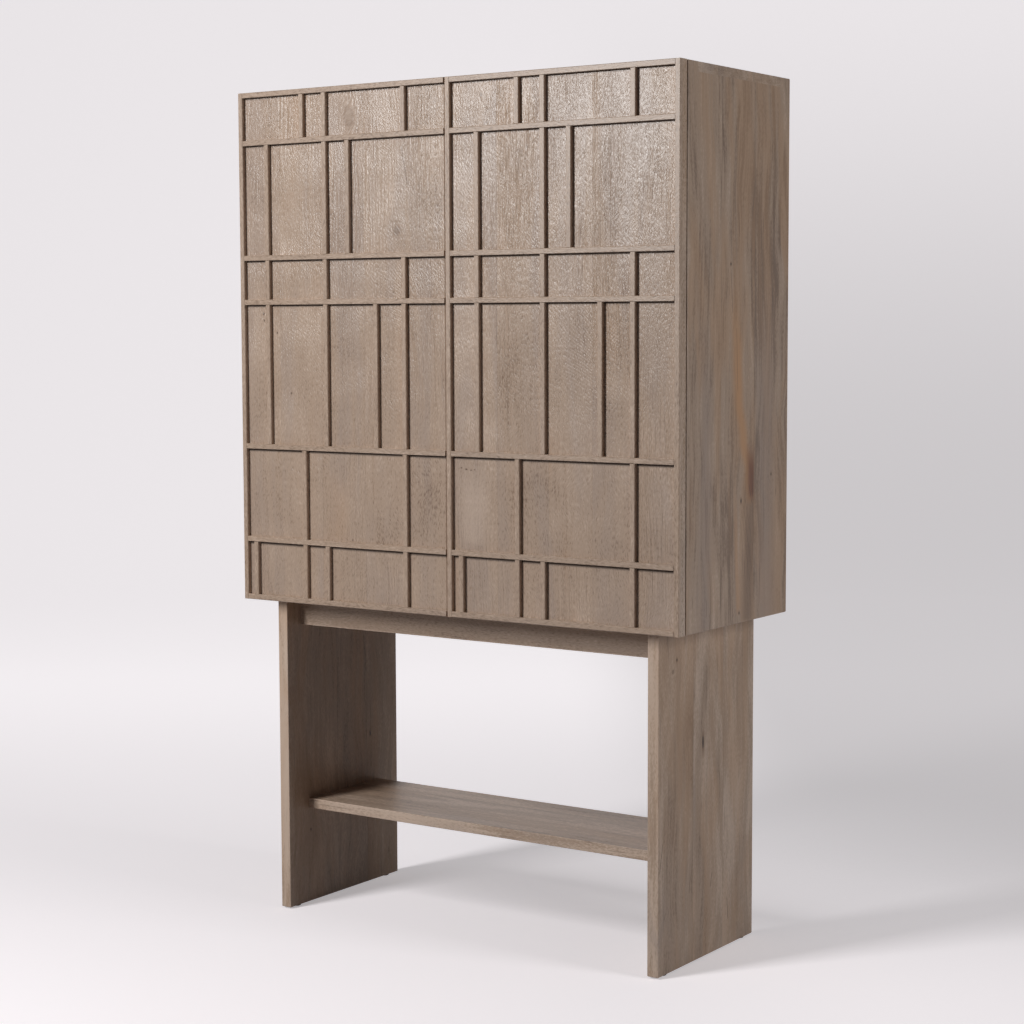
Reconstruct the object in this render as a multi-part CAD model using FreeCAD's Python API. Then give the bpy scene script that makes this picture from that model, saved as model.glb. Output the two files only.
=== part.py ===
import FreeCAD, Part
import math
import os

# Bar cabinet on slab legs: two lattice doors, a fold-out shelf inside.
# Millimetres. +X to the right seen from the front, +Z up, the front faces -Y.
# The origin is on the floor under the middle of the outer box.

X_AXIS = FreeCAD.Vector(1, 0, 0)
Y_AXIS = FreeCAD.Vector(0, 1, 0)
Z_AXIS = FreeCAD.Vector(0, 0, 1)
ORIGIN = FreeCAD.Vector(0, 0, 0)

# Overall sizes
overall_width = 1000.0
case_depth = 380.0
case_height = 998.0
leg_height = 627.0
glide_height = 3.0

# Case boards
side_thickness = 20.0
top_thickness = 18.0
bottom_thickness = 20.0
back_thickness = 6.0
back_recess = 2.0
rebate_width = 8.0
board_ease = 1.5
corner_radius = 2.5

# Through tongues of the top board in the sides
tongue_front_shoulder = 34.0
tongue_rear_shoulder = 38.0

# Stopped tongues of the bottom board in the sides
bottom_tongue_length = 8.0
bottom_tongue_thickness = 10.0
bottom_tongue_setback = 24.0

# Base
leg_thickness = 23.0
leg_inset = 59.0
leg_front_setback = 6.0
leg_rear_setback = 18.0
apron_setback = 42.5
apron_height = 54.5
apron_thickness = 20.0
tenon_length = 12.0
tenon_thickness = 8.0
tenon_shoulder = 8.0
lower_shelf_level = 216.5
lower_shelf_thickness = 20.0
lower_shelf_front_setback = 62.0
lower_shelf_rear_setback = 62.5
shelf_tongue_length = 8.0
shelf_tongue_thickness = 10.0
shelf_tongue_setback = 12.0
corner_block_size = 40.0
corner_block_height = 44.0
glide_radius = 9.0
glide_bevel = 1.0
glide_inset = 32.0

# Doors and their strip lattice
reveal = 3.0
door_seam = 3.0
door_panel_thickness = 16.0
strip_depth = 8.0
strip_width = 10.5
strip_ease = 1.0
meeting_ease = 4.5

# Heights of the inner rails as shares of the door height, from the bottom up
rail_height_shares = (0.1214, 0.3065, 0.5907, 0.6774, 0.9017)

# Columns of the uprights as shares of the door width, one row per gap between rails, from the bottom up
row_upright_shares = (
    (0.0635, 0.3176, 0.4297, 0.8096),
    (0.3176, 0.8096),
    (0.1400, 0.4297, 0.6740, 0.8096),
    (0.1400, 0.4297, 0.8096),
    (0.1400, 0.4297, 0.5420),
    (0.3176, 0.4297, 0.8096),
)

# Concealed gooseneck hinges of the doors
door_opening_degrees = 100.0
hinge_edge_distance = 7.0
hinge_back_distance = 9.0
hinge_end_distance = 110.0
hinge_pin_radius = 2.0
hinge_pin_clearance = 0.05
hinge_barrel_radius = 3.6
hinge_swing_clearance = 0.4
arm_thickness = 5.0
arm_height = 20.0
arm_reach = 22.0
arm_stop = 57.0
arm_foot_length = 33.0
cup_wall = 2.0

# Push latches under the top board
latch_offset = 34.0
latch_width = 16.0
latch_length = 50.0
latch_setback = 2.0
plunger_radius = 4.0
plunger_length = 20.0
plunger_clearance = 0.1
plunger_rest_gap = 0.3
plunger_travel = 3.0
plunger_bevel = 1.0
strike_radius = 9.0
strike_thickness = 1.5

# Serving shelf with the fold-out leaf
serving_shelf_level = 520.0
serving_shelf_thickness = 18.0
leaf_face_gap = 0.4
leaf_rest_gap = 0.3
leaf_joint_gap = 1.5
leaf_end_clearance = 1.5
leaf_front_setback = 2.0
leaf_rear_clearance = 1.5
leaf_ease = 1.0
cleat_width = 20.0
cleat_height = 20.0

# Butt hinges of the leaf
leaf_hinge_spacing = 350.0
leaf_hinge_length = 60.0
leaf_hinge_plate_width = 22.0
leaf_hinge_plate_thickness = 1.5
leaf_hinge_offsets = (-1, 0, 1)
knuckle_count = 3
knuckle_radius = 3.0
knuckle_gap = 0.3
knuckle_clearance = 0.4
leaf_pin_radius = 1.4
leaf_pin_clearance = 0.05

# Lower bays: divider, bottle rack and loose shelf
divider_thickness = 18.0
divider_setback = 4.0
rack_board_thickness = 10.0
rack_depth = 280.0
rack_columns = 4
rack_rows = 4
lap_clearance = 0.2
bay_shelf_level = 230.0
bay_shelf_thickness = 16.0
bay_shelf_end_clearance = 1.0
bay_shelf_front_setback = 30.0
shelf_pin_radius = 2.5
shelf_pin_length = 16.0
shelf_pin_inset = 50.0

# Stemware rails under the top board
stemware_count = 6
stemware_pitch = 110.0
stemware_web_width = 18.0
stemware_drop = 30.0
stemware_ledge_width = 78.0
stemware_ledge_thickness = 8.0
stemware_front_setback = 70.0

# How far cutting tools run past the faces that they cut
overrun = 5.0

# How closely two lengths, or an edge and an axis, have to agree to count as equal
match_share = 1e-6
parallel_share = 0.999

# Levels and faces that several pieces share
half_width = overall_width / 2
door_thickness = door_panel_thickness + strip_depth
overall_depth = door_thickness + reveal + case_depth
door_front = -overall_depth / 2
panel_front = door_front + strip_depth
door_back = panel_front + door_panel_thickness
case_front = door_back + reveal
case_back = case_front + case_depth
case_base = glide_height + leg_height
case_crown = case_base + case_height
side_inner = half_width - side_thickness
bottom_upper = case_base + bottom_thickness
top_under = case_crown - top_thickness
back_rear = case_back - back_recess
back_front = back_rear - back_thickness
leg_outer = half_width - leg_inset
leg_inner = leg_outer - leg_thickness
leg_front = case_front + leg_front_setback
leg_rear = case_back - leg_rear_setback
serving_top = case_base + serving_shelf_level
serving_under = serving_top - serving_shelf_thickness
rack_crown = serving_under - cleat_height


def block(x0, x1, y0, y1, z0, z1):
    """Box between limits along the three axes."""
    corner = FreeCAD.Vector(x0, y0, z0)
    return Part.makeBox(x1 - x0, y1 - y0, z1 - z0, corner)


def rod(radius, start, direction, length):
    """Round bar from a start point."""
    return Part.makeCylinder(radius, length, FreeCAD.Vector(*start), direction)


def prism(points, sweep):
    """Straight sweep of a closed outline."""
    corners = [FreeCAD.Vector(*point) for point in points]
    outline = Part.makePolygon(corners + corners[:1])
    return Part.Face(outline).extrude(sweep)


def edges_along(shape, axis, place=None):
    """Straight edges parallel to an axis, if asked only those whose middle passes the test."""
    chosen = []
    for edge in shape.Edges:
        run = edge.Vertexes[-1].Point - edge.Vertexes[0].Point
        if abs(run.dot(axis)) < run.Length * parallel_share or run.Length == 0:
            continue
        if place is None or place(edge.CenterOfMass):
            chosen.append(edge)
    return chosen


def near(value, target):
    """True where two lengths agree."""
    return abs(value - target) < overall_width * match_share


def mirrored(shape):
    """The same piece on the other side of the middle plane."""
    return shape.mirror(ORIGIN, X_AXIS)


def fused(pieces):
    """One solid out of pieces that touch."""
    whole = pieces[0]
    for piece in pieces[1:]:
        whole = whole.fuse(piece)
    return whole.removeSplitter()


def save(name, *solids):
    """Write a node; several equal pieces share one file."""
    shape = solids[0] if len(solids) == 1 else Part.makeCompound(list(solids))
    shape.exportStep("parts/" + name + ".step")


# Case

def side_board(pinned):
    """Right side: notched for the top's tongue, grooved for the bottom, rebated for the back."""
    board = block(side_inner, half_width, case_front, case_back, case_base, case_crown)
    board = board.makeFillet(corner_radius, edges_along(board, X_AXIS, lambda middle: near(middle.y, case_back)))
    outer = edges_along(board, Z_AXIS, lambda middle: near(middle.x, half_width))
    outer += edges_along(board, Y_AXIS, lambda middle: near(middle.x, half_width))
    board = board.makeFillet(board_ease, outer)
    notch = block(side_inner - overrun, half_width + overrun,
                  case_front + tongue_front_shoulder, case_back - tongue_rear_shoulder,
                  top_under, case_crown + overrun)
    groove = block(side_inner - overrun, side_inner + bottom_tongue_length,
                   case_front + bottom_tongue_setback, back_front,
                   *bottom_tongue_limits())
    rebate = block(side_inner - overrun, side_inner + rebate_width,
                   back_front, case_back + overrun,
                   case_base - overrun, top_under + rebate_width)
    board = board.cut(notch).cut(groove).cut(rebate)
    if pinned:
        for hole in shelf_pin_rods(side_inner, -1):
            board = board.cut(hole)
    return board


def bottom_tongue_limits():
    """Lower and upper face of the bottom board's tongue."""
    middle = case_base + bottom_thickness / 2
    return middle - bottom_tongue_thickness / 2, middle + bottom_tongue_thickness / 2


def top_board():
    """Top between the sides, with a through tongue at each end."""
    slab = block(-side_inner, side_inner, case_front, case_back, top_under, case_crown)
    rear_crown = edges_along(slab, X_AXIS, lambda middle: near(middle.y, case_back) and near(middle.z, case_crown))
    slab = slab.makeFillet(corner_radius, rear_crown)
    tongue = block(-half_width, half_width,
                   case_front + tongue_front_shoulder, case_back - tongue_rear_shoulder,
                   top_under, case_crown)
    crown_ends = edges_along(tongue, Y_AXIS, lambda middle: near(middle.z, case_crown))
    tongue = tongue.makeFillet(board_ease, crown_ends)
    rebate = block(-side_inner - overrun, side_inner + overrun,
                   back_front, case_back + overrun,
                   top_under - overrun, top_under + rebate_width)
    return fused([slab, tongue]).cut(rebate)


def bottom_board():
    """Bottom between the sides, with a stopped tongue at each end."""
    slab = block(-side_inner, side_inner, case_front, back_front, case_base, bottom_upper)
    reach = side_inner + bottom_tongue_length
    tongue = block(-reach, reach, case_front + bottom_tongue_setback, back_front,
                   *bottom_tongue_limits())
    return fused([slab, tongue])


def back_board():
    """Thin back in the rebates of sides and top, over the rear edge of the bottom."""
    reach = side_inner + rebate_width
    return block(-reach, reach, back_front, back_rear, case_base, top_under + rebate_width)


def make_case():
    save("right_side", side_board(pinned=True))
    save("left_side", mirrored(side_board(pinned=False)))
    save("case_top", top_board())
    save("case_bottom", bottom_board())
    save("back_panel", back_board())


# Base

def apron_faces(rear):
    """Front and rear face of an apron."""
    if rear:
        return leg_rear - apron_setback - apron_thickness, leg_rear - apron_setback
    return leg_front + apron_setback, leg_front + apron_setback + apron_thickness


def tenon_limits(rear):
    """Limits of an apron's tenons along Y and Z."""
    middle = sum(apron_faces(rear)) / 2
    low = case_base - apron_height + tenon_shoulder
    return middle - tenon_thickness / 2, middle + tenon_thickness / 2, low, case_base - tenon_shoulder


def apron(rear):
    """Rail under the case with a stub tenon at each end."""
    rail = block(-leg_inner, leg_inner, *apron_faces(rear), case_base - apron_height, case_base)
    reach = leg_inner + tenon_length
    return fused([rail, block(-reach, reach, *tenon_limits(rear))])


def lower_shelf_limits():
    """Limits of the lower shelf along Y and Z."""
    low = lower_shelf_level - lower_shelf_thickness
    front = leg_front + lower_shelf_front_setback
    return front, leg_rear - lower_shelf_rear_setback, low, lower_shelf_level


def shelf_tongue_limits():
    """Limits of the lower shelf's tongues along Y and Z."""
    front, rear, low, high = lower_shelf_limits()
    shoulder = (high - low - shelf_tongue_thickness) / 2
    return front + shelf_tongue_setback, rear - shelf_tongue_setback, low + shoulder, high - shoulder


def lower_shelf():
    """Shelf between the legs, with a stopped tongue at each end."""
    board = block(-leg_inner, leg_inner, *lower_shelf_limits())
    board = board.makeFillet(board_ease, edges_along(board, X_AXIS))
    reach = leg_inner + shelf_tongue_length
    return fused([board, block(-reach, reach, *shelf_tongue_limits())])


def leg():
    """Right slab leg with mortises for the aprons and a groove for the shelf's tongue."""
    slab = block(leg_inner, leg_outer, leg_front, leg_rear, glide_height, case_base)
    eased = edges_along(slab, Z_AXIS)
    for axis in (X_AXIS, Y_AXIS):
        eased += edges_along(slab, axis, lambda middle: near(middle.z, glide_height))
    slab = slab.makeFillet(board_ease, eased)
    for rear in (False, True):
        slab = slab.cut(block(leg_inner - overrun, leg_inner + tenon_length, *tenon_limits(rear)))
    reach = leg_inner + shelf_tongue_length
    return slab.cut(block(leg_inner - overrun, reach, *shelf_tongue_limits()))


def glide_places():
    """Middles of the two glides under the right leg."""
    middle = (leg_inner + leg_outer) / 2
    return (middle, leg_front + glide_inset), (middle, leg_rear - glide_inset)


def glide(x, y):
    """Round floor glide with a bevelled rim."""
    rim = rod(glide_radius, (x, y, 0), Z_AXIS, glide_height)
    lowest = [edge for edge in rim.Edges if edge.Closed and near(edge.CenterOfMass.z, 0)]
    return rim.makeChamfer(glide_bevel, lowest)


def corner_block(rear):
    """Three-cornered block between an apron and the right leg, under the case."""
    low = case_base - corner_block_height
    front, back = apron_faces(rear)
    face = front if rear else back
    away = -corner_block_size if rear else corner_block_size
    outline = (
        (leg_inner, face, low),
        (leg_inner - corner_block_size, face, low),
        (leg_inner, face + away, low),
    )
    return prism(outline, Z_AXIS * corner_block_height)


def make_base():
    right = leg()
    save("right_leg", right)
    save("left_leg", mirrored(right))
    save("front_apron", apron(False))
    save("rear_apron", apron(True))
    save("lower_shelf", lower_shelf())
    glides = [glide(*place) for place in glide_places()]
    save("floor_glides", *glides, *[mirrored(piece) for piece in glides])
    blocks = [corner_block(rear) for rear in (False, True)]
    save("corner_blocks", *blocks, *[mirrored(piece) for piece in blocks])


# Doors

def door_limits(side):
    """Left and right edge of a door; side is -1 for the left one and 1 for the right one."""
    edges = (side * door_seam / 2, side * half_width)
    return min(edges), max(edges)


def hinge_axis():
    """Place of the right door's swing axis in plan."""
    return half_width - hinge_edge_distance, door_back - hinge_back_distance


def hinge_levels():
    """Mid heights of the two hinges of a door."""
    return case_base + hinge_end_distance, case_crown - hinge_end_distance


def cup_limits():
    """Pocket in the right door that clears the arm over the whole swing, in plan."""
    x, y = hinge_axis()
    lean = math.radians(door_opening_degrees) - math.pi / 2
    swung_arm = hinge_back_distance * math.tan(lean) + arm_thickness / 2 / math.cos(lean)
    outer = x + max(swung_arm, hinge_barrel_radius) + hinge_swing_clearance
    elbow = math.hypot(arm_reach, arm_thickness / 2)
    inner = x - elbow - hinge_swing_clearance - cup_wall
    return inner, outer, y - hinge_barrel_radius - hinge_swing_clearance, door_back


def cup_half_height():
    """Half the height of a hinge cup."""
    return arm_height / 2 + hinge_swing_clearance + cup_wall


def hinge_cup(level):
    """U-shaped bracket in the right door that holds the hinge pin."""
    x0, x1, y0, y1 = cup_limits()
    half = cup_half_height()
    body = block(x0, x1, y0, y1, level - half, level + half)
    room = block(x0 + cup_wall, x1 + overrun, y0 - overrun, y1 + overrun,
                 level - half + cup_wall, level + half - cup_wall)
    x, y = hinge_axis()
    pin = rod(hinge_pin_radius, (x, y, level - half), Z_AXIS, half * 2)
    return fused([body.cut(room), pin])


def hinge_arm(level):
    """Gooseneck arm on the right side board that reaches round into the door."""
    x, y = hinge_axis()
    half = arm_thickness / 2
    low = level - arm_height / 2
    neck = x - arm_reach + arm_thickness
    foot = y + arm_stop - arm_foot_length
    outline = (
        (x, y - half, low),
        (x - arm_reach, y - half, low),
        (x - arm_reach, y + arm_stop, low),
        (side_inner, y + arm_stop, low),
        (side_inner, foot, low),
        (neck, foot, low),
        (neck, y + half, low),
        (x, y + half, low),
    )
    sweep = Z_AXIS * arm_height
    barrel = rod(hinge_barrel_radius, (x, y, low), Z_AXIS, arm_height)
    bore_radius = hinge_pin_radius + hinge_pin_clearance
    bore = rod(bore_radius, (x, y, low - overrun), Z_AXIS, arm_height + overrun * 2)
    return fused([prism(outline, sweep), barrel]).cut(bore)


def latch_place(side):
    """Middle of a latch in X and Z."""
    return side * latch_offset, top_under - latch_width / 2


def door_strike(side):
    """Round steel strike let into the back of a door."""
    x, z = latch_place(side)
    return rod(strike_radius, (x, door_back - strike_thickness, z), Y_AXIS, strike_thickness)


def door_panel(side):
    """Plain panel with pockets for the hinge cups and the strike; the left one is eased at the meeting edge."""
    x0, x1 = door_limits(side)
    panel = block(x0, x1, panel_front, door_back, case_base, case_crown)
    upright = edges_along(panel, Z_AXIS, lambda middle: near(middle.y, door_back))
    panel = panel.makeChamfer(strip_ease, upright)
    if side < 0:
        meeting = edges_along(panel, Z_AXIS, lambda middle: near(middle.x, x1) and near(middle.y, panel_front))
        panel = panel.makeChamfer(meeting_ease, meeting)
    half = cup_half_height()
    px0, px1, py0, py1 = cup_limits()
    for level in hinge_levels():
        pocket = block(px0, px1, py0, py1 + overrun, level - half, level + half)
        panel = panel.cut(pocket if side > 0 else mirrored(pocket))
    return panel.cut(door_strike(side))


def strip(x0, x1, z0, z1):
    """Lattice strip on the panel, eased along its two front edges."""
    bar = block(x0, x1, door_front, panel_front, z0, z1)
    run = Z_AXIS if z1 - z0 > x1 - x0 else X_AXIS
    return bar.makeChamfer(strip_ease, edges_along(bar, run, lambda middle: near(middle.y, door_front)))


def rail_levels():
    """Lower and upper edge of every rail of a door, from the bottom up."""
    levels = [(case_base, case_base + strip_width)]
    for share in rail_height_shares:
        middle = case_base + case_height * share
        levels.append((middle - strip_width / 2, middle + strip_width / 2))
    levels.append((case_crown - strip_width, case_crown))
    return levels


def door_stiles(side):
    """Full-height strips: one on the left door, one along each edge of the right door."""
    x0, x1 = door_limits(side)
    left = strip(x0, x0 + strip_width, case_base, case_crown)
    if side < 0:
        return [left]
    return [left, strip(x1 - strip_width, x1, case_base, case_crown)]


def door_rails(side):
    """Rails between the stiles; on the left door they run out to the meeting edge."""
    x0, x1 = door_limits(side)
    last = x1 if side < 0 else x1 - strip_width
    return [strip(x0 + strip_width, last, z0, z1) for z0, z1 in rail_levels()]


def door_uprights(side):
    """Short strips cut between the rails."""
    x0, x1 = door_limits(side)
    levels = rail_levels()
    pieces = []
    for row, shares in enumerate(row_upright_shares):
        low = levels[row][1]
        high = levels[row + 1][0]
        for share in shares:
            middle = x0 + (x1 - x0) * share
            pieces.append(strip(middle - strip_width / 2, middle + strip_width / 2, low, high))
    return pieces


def make_doors():
    for name, side in (("left", -1), ("right", 1)):
        save(name + "_door_panel", door_panel(side))
        save(name + "_door_rails", *door_rails(side))
        save(name + "_door_uprights", *door_uprights(side))
        save(name + "_door_strike", door_strike(side))
        for place, level in zip(("lower", "upper"), hinge_levels()):
            cup = hinge_cup(level)
            arm = hinge_arm(level)
            save(name + "_door_" + place + "_hinge_cup", cup if side > 0 else mirrored(cup))
            save(name + "_" + place + "_hinge_arm", arm if side > 0 else mirrored(arm))
    save("left_door_hinge_stile", *door_stiles(-1))
    meeting, hinge = door_stiles(1)
    save("right_door_meeting_stile", meeting)
    save("right_door_hinge_stile", hinge)


# Push latches

def latch_body(side):
    """Latch case under the top board with a bore for its plunger."""
    x, z = latch_place(side)
    front = case_front + latch_setback
    body = block(x - latch_width / 2, x + latch_width / 2, front, front + latch_length,
                 z - latch_width / 2, top_under)
    depth = plunger_length + plunger_travel
    return body.cut(rod(plunger_radius + plunger_clearance, (x, front - overrun, z), Y_AXIS, depth + overrun))


def latch_plunger(side):
    """Sliding plunger that stands just behind the closed door."""
    x, z = latch_place(side)
    nose = door_back + plunger_rest_gap
    plunger = rod(plunger_radius, (x, nose, z), Y_AXIS, plunger_length)
    tip = [edge for edge in plunger.Edges if edge.Closed and near(edge.CenterOfMass.y, nose)]
    return plunger.makeChamfer(plunger_bevel, tip)


def make_latches():
    for name, side in (("left", -1), ("right", 1)):
        save(name + "_latch_body", latch_body(side))
        save(name + "_latch_plunger", latch_plunger(side))


# Serving shelf and fold-out leaf

def leaf_axis():
    """Place of the leaf's fold axis in Y and Z."""
    middle = (case_front + leaf_front_setback + back_front - leaf_rear_clearance) / 2
    return middle, serving_top + leaf_face_gap / 2


def leaf_depth():
    """Depth of the leaf from its jointed edge."""
    y, _ = leaf_axis()
    return back_front - leaf_rear_clearance - y - leaf_joint_gap / 2


def knuckle_notches():
    """Round notches for the hinge knuckles in the edges of shelf and leaf."""
    y, z = leaf_axis()
    length = leaf_hinge_length + knuckle_clearance * 2
    return [rod(knuckle_radius + knuckle_clearance, (x - length / 2, y, z), X_AXIS, length)
            for x in leaf_hinge_places()]


def leaf_hinge_places():
    """Middles of the three hinges along the shelf."""
    return [offset * leaf_hinge_spacing for offset in leaf_hinge_offsets]


def plate_mortises(low, high):
    """Shallow beds for the hinge plates between two levels."""
    y, _ = leaf_axis()
    half = leaf_hinge_length / 2
    return [block(x - half, x + half, y, y + leaf_hinge_plate_width, low, high) for x in leaf_hinge_places()]


def serving_shelf():
    """Fixed half-depth shelf at the back of the case."""
    y, _ = leaf_axis()
    board = block(-side_inner, side_inner, y + leaf_joint_gap / 2, back_front, serving_under, serving_top)
    beds = plate_mortises(serving_top - leaf_hinge_plate_thickness, serving_top + overrun)
    for tool in knuckle_notches() + beds:
        board = board.cut(tool)
    return board


def fold_out_leaf():
    """Leaf that lies folded back on the shelf and turns over to the front."""
    y, _ = leaf_axis()
    reach = side_inner - leaf_end_clearance
    near_edge = y + leaf_joint_gap / 2
    low = serving_top + leaf_face_gap
    high = low + serving_shelf_thickness - leaf_rest_gap
    board = block(-reach, reach, near_edge, near_edge + leaf_depth(), low, high)
    far = edges_along(board, X_AXIS, lambda middle: near(middle.y, near_edge + leaf_depth()))
    board = board.makeFillet(leaf_ease, far)
    beds = plate_mortises(low - overrun, low + leaf_hinge_plate_thickness)
    for tool in knuckle_notches() + beds:
        board = board.cut(tool)
    return board


def hinge_half(x, moving):
    """Half of a butt hinge: plate with its share of the knuckles."""
    y, z = leaf_axis()
    low = serving_top + leaf_face_gap if moving else serving_top - leaf_hinge_plate_thickness
    high = low + leaf_hinge_plate_thickness
    left = x - leaf_hinge_length / 2
    clear = y + knuckle_radius + knuckle_clearance
    pieces = [block(left, left + leaf_hinge_length, clear, y + leaf_hinge_plate_width, low, high)]
    pitch = (leaf_hinge_length + knuckle_gap) / knuckle_count
    for index in range(1 if moving else 0, knuckle_count, 2):
        start = left + index * pitch
        pieces.append(rod(knuckle_radius, (start, y, z), X_AXIS, pitch - knuckle_gap))
        pieces.append(block(start, start + pitch - knuckle_gap, y, clear, low, high))
    if not moving:
        pieces.append(rod(leaf_pin_radius, (left, y, z), X_AXIS, leaf_hinge_length))
        return fused(pieces)
    bore = rod(leaf_pin_radius + leaf_pin_clearance, (left, y, z), X_AXIS, leaf_hinge_length)
    return fused(pieces).cut(bore)


def cleat():
    """Bar on the right side board that carries the shelf and the unfolded leaf."""
    return block(side_inner - cleat_width, side_inner, case_front + leaf_front_setback, back_front,
                 rack_crown, serving_under)


def make_serving_shelf():
    save("serving_shelf", serving_shelf())
    save("fold_out_leaf", fold_out_leaf())
    for name, moving in (("leaf_hinge_fixed_plates", False), ("leaf_hinge_moving_plates", True)):
        save(name, *[hinge_half(x, moving) for x in leaf_hinge_places()])
    right = cleat()
    save("right_cleat", right)
    save("left_cleat", mirrored(right))


# Lower bays

def divider():
    """Upright board between the lower bays, under shelf and leaf."""
    half = divider_thickness / 2
    board = block(-half, half, case_front + divider_setback, back_front, bottom_upper, serving_under)
    for hole in shelf_pin_rods(half, 1):
        board = board.cut(hole)
    return board


def shelf_pin_rods(face, way):
    """Two shelf pins in an upright face of the right bay, half of their length in the wood."""
    level = bottom_upper + bay_shelf_level - shelf_pin_radius
    start = face - way * shelf_pin_length / 2
    front = case_front + bay_shelf_front_setback + shelf_pin_inset
    places = (front, back_front - shelf_pin_inset)
    return [rod(shelf_pin_radius, (start, y, level), X_AXIS * way, shelf_pin_length) for y in places]


def bay_shelf():
    """Loose shelf of the right bay, lying on its pins."""
    low = bottom_upper + bay_shelf_level
    front = case_front + bay_shelf_front_setback
    board = block(divider_thickness / 2 + bay_shelf_end_clearance, side_inner - bay_shelf_end_clearance,
                  front, back_front - bay_shelf_end_clearance, low, low + bay_shelf_thickness)
    return board.makeFillet(leaf_ease, edges_along(board, X_AXIS, lambda middle: near(middle.y, front)))


def rack_limits():
    """Left and right face of the left bay."""
    return -side_inner, -divider_thickness / 2


def rack_upright_faces(index):
    """Left and right face of an upright board of the rack."""
    x0, x1 = rack_limits()
    middle = x0 + (x1 - x0) * index / rack_columns
    return middle - rack_board_thickness / 2, middle + rack_board_thickness / 2


def rack_level_faces(index):
    """Lower and upper face of a level board of the rack."""
    middle = bottom_upper + (rack_crown - bottom_upper) * index / rack_rows
    return middle - rack_board_thickness / 2, middle + rack_board_thickness / 2


def rack_upright(index):
    """Upright rack board, slotted from the front for the level boards."""
    x0, x1 = rack_upright_faces(index)
    front = back_front - rack_depth
    board = block(x0, x1, front, back_front, bottom_upper, rack_crown)
    middle = front + rack_depth / 2
    for row in range(1, rack_rows):
        low, high = rack_level_faces(row)
        slot = block(x0 - overrun, x1 + overrun, front - overrun, middle,
                     low - lap_clearance, high + lap_clearance)
        board = board.cut(slot)
    return board


def rack_level(index):
    """Level rack board, slotted from the back for the upright boards."""
    low, high = rack_level_faces(index)
    x0, x1 = rack_limits()
    front = back_front - rack_depth
    board = block(x0, x1, front, back_front, low, high)
    middle = front + rack_depth / 2
    for column in range(1, rack_columns):
        left, right = rack_upright_faces(column)
        slot = block(left - lap_clearance, right + lap_clearance, middle, back_front + overrun,
                     low - overrun, high + overrun)
        board = board.cut(slot)
    return board


def make_lower_bays():
    save("lower_divider", divider())
    save("bay_shelf", bay_shelf())
    save("shelf_pins", *shelf_pin_rods(divider_thickness / 2, 1), *shelf_pin_rods(side_inner, -1))
    for index in range(1, rack_columns):
        save("rack_upright_" + str(index), rack_upright(index))
    for index in range(1, rack_rows):
        save("rack_level_" + str(index), rack_level(index))


# Stemware rails

def stemware_rail(index):
    """Rail of T section that hangs under the top board."""
    x = (index - (stemware_count - 1) / 2) * stemware_pitch
    y = case_front + stemware_front_setback
    web = stemware_web_width / 2
    ledge = stemware_ledge_width / 2
    foot = top_under - stemware_drop
    shoulder = foot + stemware_ledge_thickness
    outline = (
        (x - web, y, top_under),
        (x - web, y, shoulder),
        (x - ledge, y, shoulder),
        (x - ledge, y, foot),
        (x + ledge, y, foot),
        (x + ledge, y, shoulder),
        (x + web, y, shoulder),
        (x + web, y, top_under),
    )
    return prism(outline, Y_AXIS * (back_front - y))


def make_stemware():
    for index in range(stemware_count):
        save("stemware_rail_" + str(index + 1), stemware_rail(index))


os.makedirs("parts", exist_ok=True)
make_case()
make_base()
make_doors()
make_latches()
make_serving_shelf()
make_lower_bays()
make_stemware()
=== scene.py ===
# %% [markdown]
# # Dressing a washed-wood bar cabinet
# The cabinet's boards, doors, hinges and shelves come from a CAD model that stays as it is.
# This lesson gives them a camera, a photographer's light, a grey-washed hardwood finish that follows the
# grain of every single board, metal and plastic for the fittings, and the small screws and pins that hold
# them.

# %% Load the solids
import math
import random

import bpy
from mathutils import Matrix, Vector


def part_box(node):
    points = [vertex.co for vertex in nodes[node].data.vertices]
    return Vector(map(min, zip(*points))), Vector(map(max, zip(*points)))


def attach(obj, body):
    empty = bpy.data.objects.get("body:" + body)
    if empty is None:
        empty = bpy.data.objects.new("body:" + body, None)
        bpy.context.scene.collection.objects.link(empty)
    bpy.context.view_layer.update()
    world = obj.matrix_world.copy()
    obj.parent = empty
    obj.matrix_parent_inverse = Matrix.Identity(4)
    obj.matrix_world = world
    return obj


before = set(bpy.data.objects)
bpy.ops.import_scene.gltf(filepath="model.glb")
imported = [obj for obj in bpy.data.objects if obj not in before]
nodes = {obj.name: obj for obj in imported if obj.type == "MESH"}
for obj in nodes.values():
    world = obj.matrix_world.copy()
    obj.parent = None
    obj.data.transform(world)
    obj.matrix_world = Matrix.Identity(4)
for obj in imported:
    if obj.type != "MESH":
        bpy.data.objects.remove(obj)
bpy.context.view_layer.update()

# %% [markdown]
# ## Camera
# The picture is square and was taken from the front right, a little below the cabinet's top, with a
# fairly long lens. A long lens keeps upright edges nearly parallel. The turn is applied about the
# vertical, then the tilt, and last a very small roll about the line of sight, so three rotation matrices
# are multiplied in that order.

# %% Place the camera
PICTURE_PIXELS = 1024
FOCAL_PIXELS = 2180.8
SENSOR_MM = 36.0
CAMERA_PLACE = Vector((2.3907, -3.4798, 1.1804))
CAMERA_TURN = math.radians(34.38)
CAMERA_TILT = math.radians(90 - 4.99)
CAMERA_ROLL = math.radians(-0.19)

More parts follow.
